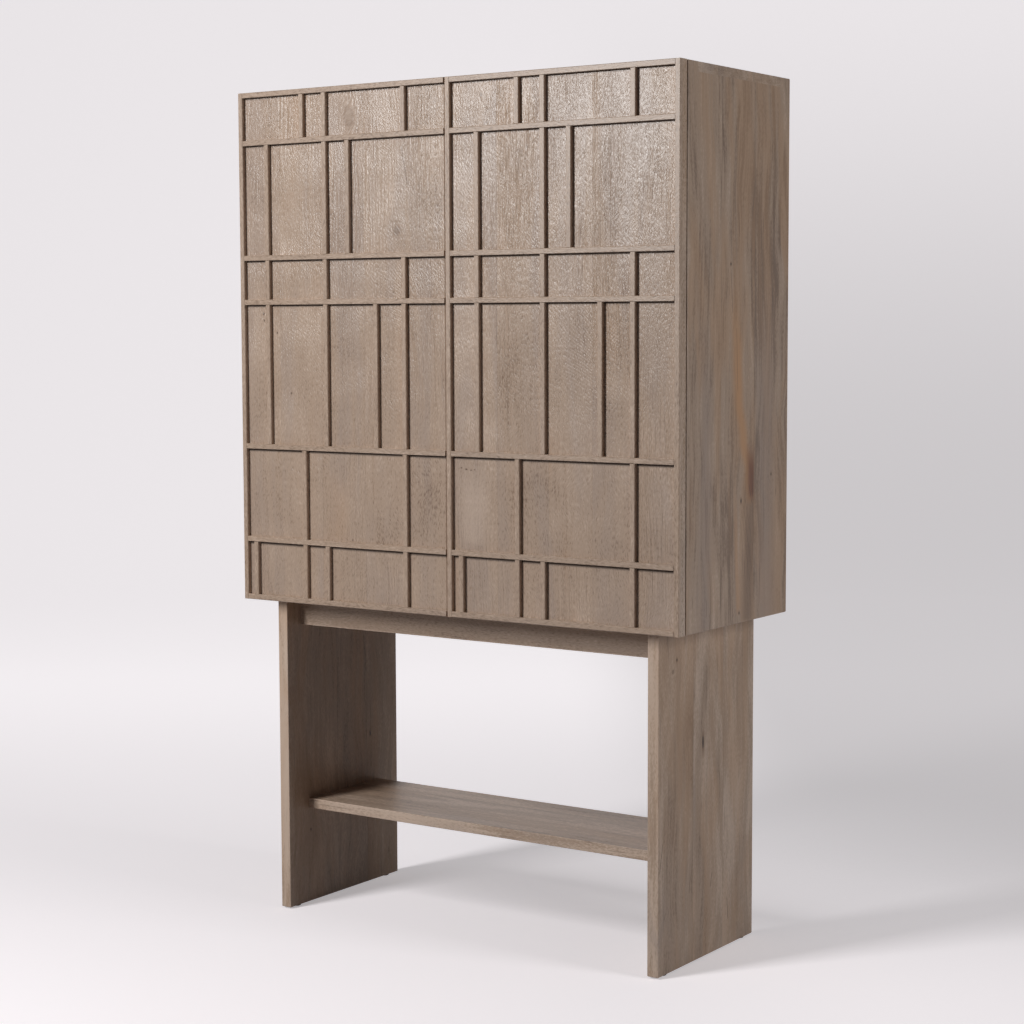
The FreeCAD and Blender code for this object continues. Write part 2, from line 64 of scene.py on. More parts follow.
bpy.ops.object.camera_add()
camera = bpy.context.object
camera.data.sensor_width = SENSOR_MM
camera.data.lens = FOCAL_PIXELS / PICTURE_PIXELS * SENSOR_MM
camera.matrix_world = (
    Matrix.Translation(CAMERA_PLACE)
    @ Matrix.Rotation(CAMERA_TURN, 4, "Z")
    @ Matrix.Rotation(CAMERA_TILT, 4, "X")
    @ Matrix.Rotation(CAMERA_ROLL, 4, "Z")
)
scene = bpy.context.scene
scene.camera = camera
scene.view_settings.view_transform = "Standard"
print("lens", round(camera.data.lens, 2), "mm")

# %% [markdown]
# ## Light
# One tall softbox stands well in front of the cabinet, to the left and above it. Because it is far off,
# it lights doors and legs alike and keeps shadow edges crisp. Because it is high, the strips throw narrow
# shadows down and to their right, and mostly the upper part of the doors mirrors it. A weaker panel on the
# right keeps the end of the case from going black. It stands almost level with the doors, so the right
# flanks of the strips catch only a little of it and stay dark.

# %% Hang two soft lamps
def soft_lamp(name, place, target, width, height, watts):
    """A rectangular lamp that faces its target and stays out of the picture itself."""
    bpy.ops.object.light_add(type="AREA")
    lamp = bpy.context.object
    lamp.name = name
    lamp.data.shape = "RECTANGLE"
    lamp.data.size = width
    lamp.data.size_y = height
    lamp.data.energy = watts
    away = (Vector(place) - Vector(target)).normalized()
    turn = away.to_track_quat("Z", "Y").to_matrix().to_4x4()
    lamp.matrix_world = Matrix.Translation(place) @ turn
    lamp.visible_camera = False
    return lamp


DOOR_MIDDLE = (0.0, -0.2, 1.2)
SOFTBOX_PLACE = (-1.3, -3.1, 2.47)
SOFTBOX_WIDTH = 0.8
SOFTBOX_HEIGHT = 2.0
SOFTBOX_WATTS = 112.0
CASE_MIDDLE = (0.0, -0.2, 1.0)
PANEL_PLACE = (3.3, 0.12, 1.55)
PANEL_WIDTH = 0.9
PANEL_HEIGHT = 1.7
PANEL_WATTS = 34.0
lamps = [
    soft_lamp("key_softbox", SOFTBOX_PLACE, DOOR_MIDDLE, SOFTBOX_WIDTH, SOFTBOX_HEIGHT, SOFTBOX_WATTS),
    soft_lamp("right_panel", PANEL_PLACE, CASE_MIDDLE, PANEL_WIDTH, PANEL_HEIGHT, PANEL_WATTS),
]
print("lamps", [lamp.name for lamp in lamps])

# %% [markdown]
# ## Shader arithmetic
# A material is a graph of nodes, and long graphs are hard to read as code. A small class that wraps one
# output socket helps: adding or multiplying two wrapped sockets puts a Math node between them, so a pattern
# reads like a formula. Every other node comes from one method, which sets the node's options before its
# inputs.

# %% A socket that Python can calculate with
class Sock:
    """One output of a shader node; arithmetic on it adds Math nodes."""

    def __init__(self, tree, socket):
        self.tree = tree
        self.socket = socket

    def node(self, kind, settings, inputs, output=0):
        """Add a node: its settings first, then the values or links of its sockets."""
        made = self.tree.nodes.new(kind)
        for name, setting in settings.items():
            setattr(made, name, setting)
        for name, value in inputs.items():
            if isinstance(value, Sock):
                self.tree.links.new(value.socket, made.inputs[name])
            else:
                made.inputs[name].default_value = value
        return Sock(self.tree, made.outputs[output] if made.outputs else None)

    def sibling(self, output):
        """Another output of the same node."""
        return Sock(self.tree, self.socket.node.outputs[output])

    def math(self, operation, first, second=0.0):
        """Add a Math node."""
        return self.node("ShaderNodeMath", {"operation": operation}, {0: first, 1: second})

    def __add__(self, other):
        return self.math("ADD", self, other)

    def __sub__(self, other):
        return self.math("SUBTRACT", self, other)

    def __rsub__(self, other):
        return self.math("SUBTRACT", other, self)

    def __mul__(self, other):
        return self.math("MULTIPLY", self, other)

    def __truediv__(self, other):
        return self.math("DIVIDE", self, other)

    def __gt__(self, other):
        return self.math("GREATER_THAN", self, other)

    __radd__ = __add__
    __rmul__ = __mul__


def new_finish(name):
    """An empty material and the object coordinates in it."""
    material = bpy.data.materials.new(name)
    material.use_nodes = True
    material.node_tree.nodes.clear()
    start = Sock(material.node_tree, None)
    return material, start.node("ShaderNodeTexCoord", {}, {}, "Object")


def close_finish(place, inputs):
    """Put a Principled shader with these inputs on the material's output."""
    shader = place.node("ShaderNodeBsdfPrincipled", {}, inputs)
    place.node("ShaderNodeOutputMaterial", {}, {"Surface": shader})


print("shader arithmetic ready")

# %% Small tools for patterns and colours
def smooth(value, low, high):
    """0 below low, 1 above high, and a soft step between them."""
    soft = {"interpolation_type": "SMOOTHSTEP"}
    return value.node("ShaderNodeMapRange", soft, {"Value": value, "From Min": low, "From Max": high})


def blend(share, first, second):
    """Mix two colours."""
    return share.node("ShaderNodeMix", {"data_type": "RGBA"}, {0: share, 6: first, 7: second}, 2)


def noise(across, through, along, detail=2.0, rough=0.5, twist=0.0):
    """Soft noise at coordinates that are already scaled; twist makes it curl like flames."""
    spot = across.node("ShaderNodeCombineXYZ", {}, {0: across, 1: through, 2: along})
    inputs = {"Vector": spot, "Scale": 1.0, "Detail": detail, "Roughness": rough, "Distortion": twist}
    return across.node("ShaderNodeTexNoise", {}, inputs)


def axes(place):
    """The three coordinates of a point."""
    parts = place.node("ShaderNodeSeparateXYZ", {}, {0: place}, "X")
    return {axis: parts.sibling(axis) for axis in "XYZ"}


def paint(red, green, blue):
    """A colour as a screen shows it, 0 to 255, turned into linear light by the sRGB curve."""
    shares = [part / 255 for part in (red, green, blue)]
    linear = [part / 12.92 if part <= 0.04045 else ((part + 0.055) / 1.055) ** 2.4 for part in shares]
    return (*linear, 1.0)


print("pattern tools ready")

# %% [markdown]
# ## Paper sweep
# The cabinet stands on a pale paper sweep: a floor that curves up into a wall far behind. One plane is
# enough: its far edge is extruded upwards and the fold is bevelled into a wide curve. The wall stands far
# off, so that a camera on any side of the cabinet still fits in front of it. To the camera, part of the
# paper's paleness is light of its own, so that it stays pale where the softbox doesn't reach, while the
# rest still takes the shadow. At the back on the right a soft shade is painted on the paper, and on the
# floor to the right of the cabinet a little light is painted.

# %% Fold the sweep
FLOOR_SIZE = 18.0
WALL_HEIGHT = 9.0
FOLD_RADIUS = 4.0
FOLD_STEPS = 24


def select_edges(obj, wanted):
    """Select only the edges whose two ends both pass the test."""
    bpy.ops.object.mode_set(mode="EDIT")
    bpy.ops.mesh.select_mode(type="EDGE")
    bpy.ops.mesh.select_all(action="DESELECT")
    bpy.ops.object.mode_set(mode="OBJECT")
    for edge in obj.data.edges:
        edge.select = all(wanted(obj.data.vertices[end].co) for end in edge.vertices)
    bpy.ops.object.mode_set(mode="EDIT")


bpy.ops.object.select_all(action="DESELECT")
bpy.ops.mesh.primitive_plane_add(size=FLOOR_SIZE)
sweep = bpy.context.object
sweep.name = "paper_sweep"
far_line = FLOOR_SIZE * 0.499
floor_line = 0.01
select_edges(sweep, lambda spot: spot.y > far_line)
bpy.ops.mesh.extrude_region_move(TRANSFORM_OT_translate={"value": (0, 0, WALL_HEIGHT)})
select_edges(sweep, lambda spot: spot.y > far_line and spot.z < floor_line)
bpy.ops.mesh.bevel(offset=FOLD_RADIUS, segments=FOLD_STEPS)
bpy.ops.object.mode_set(mode="OBJECT")
sweep.rotation_euler.z = CAMERA_TURN
bpy.ops.object.transform_apply(location=False, rotation=True, scale=False)
bpy.ops.object.shade_smooth()
print("sweep faces", len(sweep.data.polygons))

# %% Paper for the sweep
PAPER = paint(238, 233, 236)
PAPER_BOUNCE = paint(152, 149, 151)
PAPER_GLOW = (1.0, 0.962, 0.982, 1.0)
NO_GLOW = (0.0, 0.0, 0.0, 1.0)
# Paper colour inside the painted shade at the back on the right.
DIM_PAPER = paint(112, 109, 111)
DIM_SHARE = 0.9
PAPER_ROUGHNESS = 0.9
FLOOR_GLOW = 0.345
WALL_GLOW = 0.74
WALL_RISE = (-0.2, 3.2)
FAR_RISE = (2.4, 6.0)
# Painted shade at the back on the right: how much the paper glows there, near and far, and where the shade
# lies.
NEAR_SHADE = 0.44
FAR_SHADE = 0.56
SHADE_ASIDE = (0.15, 0.85)
SHADE_BACK = (-0.6, 1.4)
SHADE_HEIGHT = (0.0, 3.4)
# Painted light: a little more glow on the floor to the right of the cabinet.
LIFT = 0.05
LIFT_ASIDE = (0.1, 0.7)
LIFT_FADE = (0.8, 1.6)
sweep_right = Vector((math.cos(CAMERA_TURN), math.sin(CAMERA_TURN), 0))
sweep_back = Vector((-math.sin(CAMERA_TURN), math.cos(CAMERA_TURN), 0))


def seen_rays(place):
    """1 for rays that show the paper itself or a mirror image of it, 0 for its bounced light."""
    path = place.node("ShaderNodeLightPath", {}, {}, "Is Camera Ray")
    seen = path.math("MAXIMUM", path, path.sibling("Is Glossy Ray"))
    return seen.math("MAXIMUM", seen, path.sibling("Is Transmission Ray"))


def measure(place, direction):
    """How far a point lies in a direction."""
    dot = {"operation": "DOT_PRODUCT"}
    return place.node("ShaderNodeVectorMath", dot, {0: place, 1: direction}, "Value")


def paper_finish():
    """Paper that glows more towards the wall, with painted shade at the back on the right and a little
    painted light on the floor right of the cabinet.
    """
    material, place = new_finish("pale_paper")
    aside = measure(place, sweep_right)
    back = measure(place, sweep_back)
    height = measure(place, (0, 0, 1))
    far = place.node("ShaderNodeVectorMath", {"operation": "LENGTH"}, {0: place}, "Value")
    wall = far.math("MAXIMUM", smooth(back, *WALL_RISE), smooth(far, *FAR_RISE))
    open_level = wall * (WALL_GLOW - FLOOR_GLOW) + FLOOR_GLOW
    shade_level = wall * (FAR_SHADE - NEAR_SHADE) + NEAR_SHADE
    # Painted shade at the back on the right.
    shade = smooth(aside, *SHADE_ASIDE) * smooth(back, *SHADE_BACK) * (1 - smooth(height, *SHADE_HEIGHT))
    # Painted light on the floor to the right of the cabinet, which lightens its shadow there.
    lift = smooth(aside, *LIFT_ASIDE) * (1 - smooth(far, *LIFT_FADE)) * LIFT
    level = open_level * (1 - shade) + shade_level * shade + lift
    seen = seen_rays(place)
    colour = blend(seen, PAPER_BOUNCE, blend(shade * DIM_SHARE, PAPER, DIM_PAPER))
    glow = blend(level * seen, NO_GLOW, PAPER_GLOW)
    lit = {"Base Color": colour, "Emission Color": glow, "Emission Strength": 1.0}
    close_finish(place, {"Roughness": PAPER_ROUGHNESS, **lit})
    return material


sweep.data.materials.append(paper_finish())
print("paper ready")

# %% Air of the studio
STUDIO_GREY = paint(232, 228, 231)
STUDIO_FILL = 0.02
STUDIO_MIRRORED = 0.25
world = bpy.data.worlds.new("studio")
scene.world = world
world.use_nodes = True
world.node_tree.nodes.clear()
studio = Sock(world.node_tree, None)
path = studio.node("ShaderNodeLightPath", {}, {}, "Is Camera Ray")
strength = path + path.sibling("Is Glossy Ray") * STUDIO_MIRRORED + STUDIO_FILL
air = studio.node("ShaderNodeBackground", {}, {"Color": STUDIO_GREY, "Strength": strength})
studio.node("ShaderNodeOutputWorld", {}, {"Surface": air})
print("studio air ready")

# %% [markdown]
# ## Washed hardwood
# Each board is glued up from staves, and each stave is a slice of a log. So the pattern starts from the
# log: growth rings are circles about a pith that runs along the grain, which draws arches on a flat face
# and arcs on an end. Rings are pushed aside around knots. On top lie long streaks, warm and cool patches,
# hairlines, and the short dashes of a brushed surface, which are also a bump. An image texture would be
# quicker, but it would repeat and stretch. With formulas in object coordinates, every board gets its own
# staves and its own random draw.

# %% Where a point lies in its board
AXIS_NUMBERS = {"X": 0, "Y": 1, "Z": 2}
KNOT_REACH = 5.0
KNOT_PUSH = 0.85


def per_stave(across, joints, values):
    """A value that changes at each glue joint."""
    total = across * 0.0 + values[0]
    for joint, before, after in zip(joints, values, values[1:]):
        total = total + (across > joint) * (after - before)
    return total


def knot_distance(across, along, knot):
    """1 on the knot's rim, less inside it."""
    place, level, half_width, half_length = knot[:4]
    aside = (across - place) * (1 / half_width)
    ahead = (along - level) * (1 / half_length)
    return aside.math("SQRT", aside * aside + ahead * ahead)


def part_grain(across, along, knots):
    """Push the grain lines aside around each knot."""
    for knot in knots:
        reach = 1 - smooth(knot_distance(across, along, knot), 0.0, KNOT_REACH)
        across = across - (across - knot[0]) * reach * KNOT_PUSH
    return across


print("board coordinates ready")

# %% How strongly a board shows each pattern
class Look:
    """Strengths of the patterns on a board; a new look changes some of these."""

    flame = 0.7  # broad light and dark streaks
    breadth = 17.0  # such streaks in a metre
    curl = 0.6  # how much they curl
    sway = 0.04  # how far the grain lines wander, in metres
    rings = 0.25  # growth rings
    fine = 0.4  # fine streaks
    staves = 0.05  # difference between neighbouring staves
    cloud = 0.0  # cloudy patches
    hue = 0.2  # warm and cool patches
    warmth = 0.0  # more warm ones, or fewer
    hair = 0.25  # dark hairlines
    glue = 0.3  # glue lines
    sand = 0.7  # short brushed dashes
    swirl = 0.05  # how far the dashes swirl, in metres
    ridge = 0.0  # brushed ridges, in the relief only
    ripple = 0.0  # slanting ripples, in the relief only
    dents = 0.6  # depth of the relief, in millimetres
    matt = 0.42  # roughness of the finish
    shine = 0.75  # how strongly it mirrors
    shade = 0.0  # lighter or darker as a whole
    # Painted light: the front or lower edge of a board is made lighter, as if more light fell there.
    edge = 0.0  # how much lighter the front or lower edge is
    # Painted light in part: faces off the front are made lighter, as if more light fell on them; being
    # planed, they are also smoother and warmer.
    planed_and_lit = 0.0  # edges smoother, lighter and warmer than the front

    def __init__(self, **changes):
        for name, strength in changes.items():
            setattr(self, name, strength)


print("plain look", {name: value for name, value in vars(Look).items() if isinstance(value, float)})

# %% Patterns of the log and of the brush
FRONT_FADE = (0.0002, 0.001)
SLIP_LIMIT = 9
PITH_SPREAD = 0.05
PITH_DEPTH = 0.07
PITH_BENDS = 1.7
RINGS_PER_METRE = 150.0
# Patches have a scale across and one along the grain, in repeats per metre.
SWAY_SCALES = (6.0, 3.0)
SWIRL_SCALES = (5.0, 9.0)
SAND_SCALES = (460.0, 130.0)
BEND_SCALES = (7.0, 4.0)
CLOUD_SCALES = (9.0, 7.0)
CLOUD_NOISE = (3.0, 0.55, 0.6)
# Streaks have both scales, a level of detail and a shift that keeps them apart from each other.
FLAME_BENDS, FLAME_DETAIL = 2.6, 4.0
FINE_STREAKS = (150.0, 6.0, 3.0, 0.0)
HUE_STREAKS = (14.0, 1.8, 3.0, 31.0)
HAIR_STREAKS = (230.0, 7.0, 1.0, 17.0)
RIDGE_STREAKS = (210.0, 9.0, 2.0, 53.0)
RIDGED_BANDS = (11.0, 2.5, 1.0, 71.0)
RIPPLED_BANDS = (6.0, 4.0, 1.0, 91.0)
STREAK_ROUGHNESS = 0.57
FINE_MOST = 1.4
FINE_FADE = (-0.15, 0.2)
RIDGED_FROM = (-0.05, 0.15)
RIPPLED_FROM = (0.0, 0.12)
RIPPLE_UP, RIPPLE_ASIDE = 0.75, 0.65
RIPPLE_BEND = 0.12
RIPPLE_LENGTH = 0.0055


class Grain:
    """The patterns that a log and a wire brush leave on one board, most of them as numbers about zero."""

    def __init__(self, place, node, grain, face, joints, knots, seed, look, tones):
        low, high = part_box(node)
        number = AXIS_NUMBERS[face]
        third = ({"X", "Y", "Z"} - {grain, face}).pop()
        spot = axes(place)
        self.across, self.through, self.along = [spot[axis] for axis in (face, third, grain)]
        self.height = spot["Z"]
        self.front_edge = low[number]
        front_face = low[AXIS_NUMBERS[third]]
        self.front = 1 - smooth(self.through, *[front_face + depth for depth in FRONT_FADE])
        edges = [low[number], *joints, high[number]]
        middles = [(start + end) / 2 for start, end in zip(edges, edges[1:])]
        draw = random.Random(seed)
        slip = per_stave(self.across, joints, [draw.uniform(0, SLIP_LIMIT) for middle in middles])
        drawn = [draw.uniform(-1, 1) for middle in middles]
        self.stave = per_stave(self.across, joints, tones or drawn)
        self.level = self.along + slip
        sway = self.patches(SWAY_SCALES, detail=2.0) - 0.5
        self.lines = part_grain(self.across, self.along, knots) + sway * look.sway
        piths = [middle + draw.uniform(-PITH_SPREAD, PITH_SPREAD) for middle in middles]
        aside = self.lines - per_stave(self.across, joints, piths)
        deep = noise(slip, slip, self.level * PITH_BENDS) * PITH_DEPTH + self.through
        radius = aside.math("SQRT", aside * aside + deep * deep)
        self.rings = noise(radius * RINGS_PER_METRE, slip, slip) - 0.5
        self.add_streaks(look)
        self.add_relief(look)
        across, along = CLOUD_SCALES
        cloud = noise(self.across * across, self.through * across, self.along * along + seed, *CLOUD_NOISE)
        self.cloud = cloud - 0.5

    def patches(self, scales, detail):
        """Soft noise that isn't drawn out, from 0 to 1."""
        across, along = scales
        return noise(self.across * across, self.through * across, self.level * along, detail)

    def streaks(self, across, along, detail, shift, twist=0.0):
        """Noise drawn out along the grain."""
        level = self.level * along + shift
        return noise(self.lines * across, self.through * across, level, detail, STREAK_ROUGHNESS, twist) - 0.5

    def add_streaks(self, look):
        """Streaks of the log: flames, fine lines in the darker ones, warm and cool bands, hairlines."""
        self.flame = self.streaks(look.breadth, FLAME_BENDS, FLAME_DETAIL, 0.0, look.curl)
        self.fine = self.streaks(*FINE_STREAKS) * (FINE_MOST - smooth(self.flame, *FINE_FADE))
        self.hue = self.streaks(*HUE_STREAKS, look.curl)
        self.hair = self.streaks(*HAIR_STREAKS)

    def add_relief(self, look):
        """What the brush leaves: short dashes, ridges in some bands and slanting ripples in others."""
        swirl = self.patches(SWIRL_SCALES, detail=1.0) - 0.5
        dash = self.lines + swirl * look.swirl
        across, along = SAND_SCALES
        self.sand = noise(dash * across, self.through * across, self.level * along, detail=1.0) - 0.5
        self.ridge = self.streaks(*RIDGE_STREAKS) * smooth(self.streaks(*RIDGED_BANDS), *RIDGED_FROM)
        bend = self.patches(BEND_SCALES, detail=1.0) * RIPPLE_BEND
        slant = self.level * RIPPLE_UP + self.across * RIPPLE_ASIDE + bend
        wave = bend.math("SINE", slant * (2 * math.pi / RIPPLE_LENGTH))
        self.ripple = wave * smooth(self.streaks(*RIPPLED_BANDS), *RIPPLED_FROM)


print("grain patterns ready")

# %% Colours of the wash
WOOD_DARK = paint(124, 102, 85)
WOOD_MIDDLE = paint(169, 146, 127)
WOOD_LIGHT = paint(200, 178, 160)
WOOD_WARM = paint(178, 142, 110)
WOOD_COOL = paint(148, 134, 128)
WOOD_LINE = paint(84, 64, 52)
TONE_RANGE = 0.40
HUE_RANGE = 0.22
HAIR_FROM = (0.16, 0.28)
EDGE_FADE = (0.0005, 0.003)
# How much lighter the faces off the front are painted.
PLANED_PAINTED_LIGHT = 0.14
PLANED_WARMTH = 0.1


def wash(grain, look):
    """Colour of the wood before its marks are drawn."""
    # Painted light: faces off the front are made lighter; they are also made warmer.
    planed_and_lit = (1 - grain.front) * look.planed_and_lit
    # Painted light: the front or lower edge of a board is made lighter.
    edge = 1 - smooth(grain.across, *[grain.front_edge + depth for depth in EDGE_FADE])
    tone = grain.flame * look.flame + grain.fine * look.fine + grain.rings * look.rings
    tone = tone + grain.sand * look.sand + grain.stave * look.staves + grain.cloud * look.cloud
    tone = tone + edge * look.edge + planed_and_lit * PLANED_PAINTED_LIGHT + look.shade
    colour = blend(smooth(tone, -TONE_RANGE, 0.0), WOOD_DARK, WOOD_MIDDLE)
    colour = blend(smooth(tone, 0.0, TONE_RANGE), colour, WOOD_LIGHT)
    warmth = grain.hue + look.warmth + planed_and_lit * PLANED_WARMTH
    colour = blend(smooth(warmth, 0.0, HUE_RANGE) * look.hue, colour, WOOD_WARM)
    colour = blend(smooth(0 - warmth, 0.0, HUE_RANGE) * look.hue, colour, WOOD_COOL)
    return blend(smooth(grain.hair, *HAIR_FROM) * look.hair, colour, WOOD_LINE)


print("wash ready")

# %% [markdown]
# ## Marks in the wood
# A real board is recognised by its marks: dark knots with a rim, cracks that follow the grain, a streak of
# heartwood that wanders down the board and the fine line of a glue joint. Painted shadow is drawn in the
# same way: a dark line in the corner under a strip and a dark lower face on each rail. Each mark is a
# distance to a point or to a line, turned into a mask that blends in one colour.

# %% Draw knots, cracks, joints, heartwood and painted shadow
HEART = paint(188, 142, 100)
KNOT_CORE = paint(44, 33, 27)
KNOT_RIM = paint(112, 84, 64)
GLUE_LINE = paint(92, 74, 62)
# The colour of painted shadow: the shade under the strips and on the lower faces of the rails.
PAINTED_SHADOW_COLOUR = paint(46, 29, 18)
HALO_FADE, HALO_STRENGTH = (0.8, 2.2), 0.6
RING_RISE, RING_FALL, RING_STRENGTH = (0.55, 0.9), (0.9, 1.25), 0.3
CORE_FADE = (0.6, 1.0)
CRACK_FADE = (0.0003, 0.0013)
CRACK_TAPER = 0.008
GLUE_FADE = (0.0002, 0.0009)
HEART_TAPER = 0.02
HEART_WANDER = 0.01
HEART_CORE_SHARE = 0.1
# Painted shadow under the rails: it starts at a rail's lower edge and reaches further on the low rails, where
# the shadow falls longer.
SHADOW_RISE = (-0.0004, 0.0002)
SHADOW_START = 0.0014
SHADOW_REACH = 0.0024
SHADOW_GROWTH = 0.0066
SHADOW_TOP = 1.53
UNDERSIDE_FADE, UNDERSIDE_STRENGTH = (0.0003, 0.0010), 0.85


def draw_knot(grain, colour, knot):
    """A core, a ring round it and a soft halo; the last number is how dark it is."""
    distance = knot_distance(grain.across, grain.along, knot)
    darkness = knot[4]
    halo = (1 - smooth(distance, *HALO_FADE)) * HALO_STRENGTH
    colour = blend(halo * darkness, colour, KNOT_RIM)
    ring = smooth(distance, *RING_RISE) * (1 - smooth(distance, *RING_FALL))
    colour = blend(ring * RING_STRENGTH, colour, KNOT_RIM)
    return blend((1 - smooth(distance, *CORE_FADE)) * darkness, colour, KNOT_CORE)


def draw_crack(grain, colour, crack):
    """A hairline from a place at the bottom, leaning as it rises."""
    place, bottom, top, lean, strength = crack
    off = grain.across.math("ABSOLUTE", grain.across - place - (grain.along - bottom) * lean)
    start = smooth(grain.along, bottom, bottom + CRACK_TAPER)
    span = start * (1 - smooth(grain.along, top - CRACK_TAPER, top))
    return blend((1 - smooth(off, *CRACK_FADE)) * span * strength, colour, WOOD_LINE)


def draw_joint(grain, colour, joint, strength):
    """The glue line between two staves."""
    off = grain.across.math("ABSOLUTE", grain.across - joint)
    return blend((1 - smooth(off, *GLUE_FADE)) * strength, colour, GLUE_LINE)


def draw_heart(grain, colour, course, half_width, tint, strength, limit=1.0):
    """A streak of coloured wood along (height, place) points from the top down, up to a glue joint."""
    place = grain.across * 0.0 + course[0][1]
    for (upper, before), (lower, after) in zip(course, course[1:]):
        place = place + (1 - smooth(grain.along, lower, upper)) * (after - before)
    off = grain.across.math("ABSOLUTE", grain.across - place + grain.flame * HEART_WANDER)
    top, bottom = course[0][0], course[-1][0]
    start = smooth(grain.along, bottom, bottom + HEART_TAPER)
    span = start * (1 - smooth(grain.along, (top + bottom) / 2, top)) * (1 - (grain.across > limit))
    core = 1 - smooth(off, half_width * HEART_CORE_SHARE, half_width)
    return blend(core * span * strength, colour, tint)


def painted_shadow_mask(grain, level):
    """Painted shadow: 1 just under the lower edge of a strip, fading over a reach that grows from the top
    strip down, as the shadow does.
    """
    below = level - grain.height
    reach = SHADOW_REACH + (SHADOW_TOP - level) * SHADOW_GROWTH
    return smooth(below, *SHADOW_RISE) * (1 - smooth(below, SHADOW_START, reach)) * grain.front


def paint_underside_shade(grain, colour, level):
    """Painted shade on the lower face of a rail."""
    off = grain.height.math("ABSOLUTE", grain.height - level)
    return blend((1 - smooth(off, *UNDERSIDE_FADE)) * UNDERSIDE_STRENGTH, colour, PAINTED_SHADOW_COLOUR)


print("marks ready")

# %% Finish one board
MILLIMETRE = 0.001
SAND_RELIEF = 0.6
FINE_RELIEF = 0.3
MATT_CHANGE = 0.12
# How dark the painted shadow under the rails is, and how much duller it is made.
SHADOW_STRENGTH = 0.95
SHADOW_MATT = 0.6


def dress(node, material):
    """Give a CAD node this finish."""
    mesh = nodes[node].data
    mesh.materials.clear()
    mesh.materials.append(material)


def washed_wood(node, grain, face, seed, look, joints=(), tones=(), knots=(), specks=(), cracks=(), hearts=(),
                painted_shadows=(), shaded_undersides=()):
    """Dress one CAD board: grain and face are the axes along the grain and across the face."""
    material, place = new_finish(node + "_wood")
    pattern = Grain(place, node, grain, face, joints, knots, seed, look, tones)
    colour = wash(pattern, look)
    for heart in hearts:
        colour = draw_heart(pattern, colour, *heart)
    for crack in cracks:
        colour = draw_crack(pattern, colour, crack)
    for joint in joints:
        colour = draw_joint(pattern, colour, joint, look.glue)
    for knot in (*knots, *specks):
        colour = draw_knot(pattern, colour, knot)
    rough = (pattern.sand + pattern.fine) * MATT_CHANGE + look.matt
    # Painted shadow under each rail, which is also made duller, and painted shade on the lower faces of the
    # rails.
    for level in painted_shadows:
        mask = painted_shadow_mask(pattern, level)
        colour = blend(mask * SHADOW_STRENGTH, colour, PAINTED_SHADOW_COLOUR)
        rough = rough + mask * SHADOW_MATT
    for level in shaded_undersides:
        colour = paint_underside_shade(pattern, colour, level)
    relief = pattern.sand * SAND_RELIEF + pattern.fine * FINE_RELIEF
    relief = relief + pattern.ridge * look.ridge + pattern.ripple * look.ripple
    relief = relief * (1 - (1 - pattern.front) * look.planed_and_lit)
    bump = place.node("ShaderNodeBump", {}, {"Distance": look.dents * MILLIMETRE, "Height": relief})
    finish = {"Base Color": colour, "Roughness": rough, "Normal": bump}
    close_finish(place, {"Specular IOR Level": look.shine, **finish})
    dress(node, material)


print("wood finish ready")

# %% [markdown]
# ## Doors
# The doors are panels of upright staves with strips glued on. They are brushed hardest, so they carry the
# most relief, and at the top they mirror the softbox, which shows every ridge. Their edges are planed, so
# they are smoother and warmer, and they are painted lighter, as if more light fell on them. The knots,
# specks, patches and one crack sit where the photograph shows them. Under each rail a dark, dull line of
# painted shadow lies in the corner, and it is wider on the low rails, where the shadow falls longer.

# %% Dress the doors
DOOR_LOOK = Look(flame=0.26, rings=0.10, fine=0.24, sand=0.8, swirl=0.07, ridge=2.2, ripple=0.03, dents=1.15,
                 matt=0.29, shine=0.55, hair=0.10, glue=0.1, hue=0.3, warmth=-0.07, cloud=0.55, planed_and_lit=1.0)
LEFT_JOINTS = (-0.405, -0.302, -0.196, -0.098)
RIGHT_JOINTS = (0.112, 0.224, 0.318, 0.412)
LEFT_TONES = (0.3, 0.6, -0.2, 0.2, -0.4)
RIGHT_TONES = (1.0, -0.6, 0.3, -0.3, 0.4)
LEFT_KNOTS = ((-0.2293, 1.5684, 0.012, 0.017, 0.1), (-0.1165, 1.351, 0.008, 0.009, 0.25))
LEFT_SPECKS = ((-0.447, 1.197, 0.0016, 0.003, 0.8), (-0.446, 1.184, 0.0014, 0.002, 0.7),
               (-0.413, 1.160, 0.0016, 0.002, 0.7), (-0.379, 1.042, 0.002, 0.002, 0.6),
               (-0.229, 0.761, 0.0016, 0.002, 0.6))
LEFT_CRACKS = ((-0.090, 1.430, 1.510, -0.19, 0.6),)
RIGHT_KNOTS = ((0.0783, 1.5917, 0.003, 0.004, 0.3),)
RIGHT_SPECKS = ((0.091, 1.519, 0.0016, 0.0022, 0.6), (0.0412, 0.9077, 0.0024, 0.0014, 0.7),
                (0.0300, 0.9100, 0.002, 0.0012, 0.6), (0.0520, 0.9062, 0.002, 0.0012, 0.6),
                (0.0600, 0.9075, 0.0016, 0.001, 0.5))
LEFT_PATCHES = ((((0.91, -0.272), (0.83, -0.262), (0.75, -0.270)), 0.040, WOOD_WARM, 0.22),)
RIGHT_PATCHES = ((((0.935, 0.064), (0.86, 0.060), (0.76, 0.056)), 0.046, WOOD_LIGHT, 0.40),)
HALF_STRIP = 0.00525
RAIL_SHARES = (0.1214, 0.3065, 0.5907, 0.6774, 0.9017)
door_low, door_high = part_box("right_door_panel")
door_height = door_high.z - door_low.z
rail_unders = [door_low.z + door_height * share - HALF_STRIP for share in RAIL_SHARES]
rail_unders.append(door_high.z - 2 * HALF_STRIP)
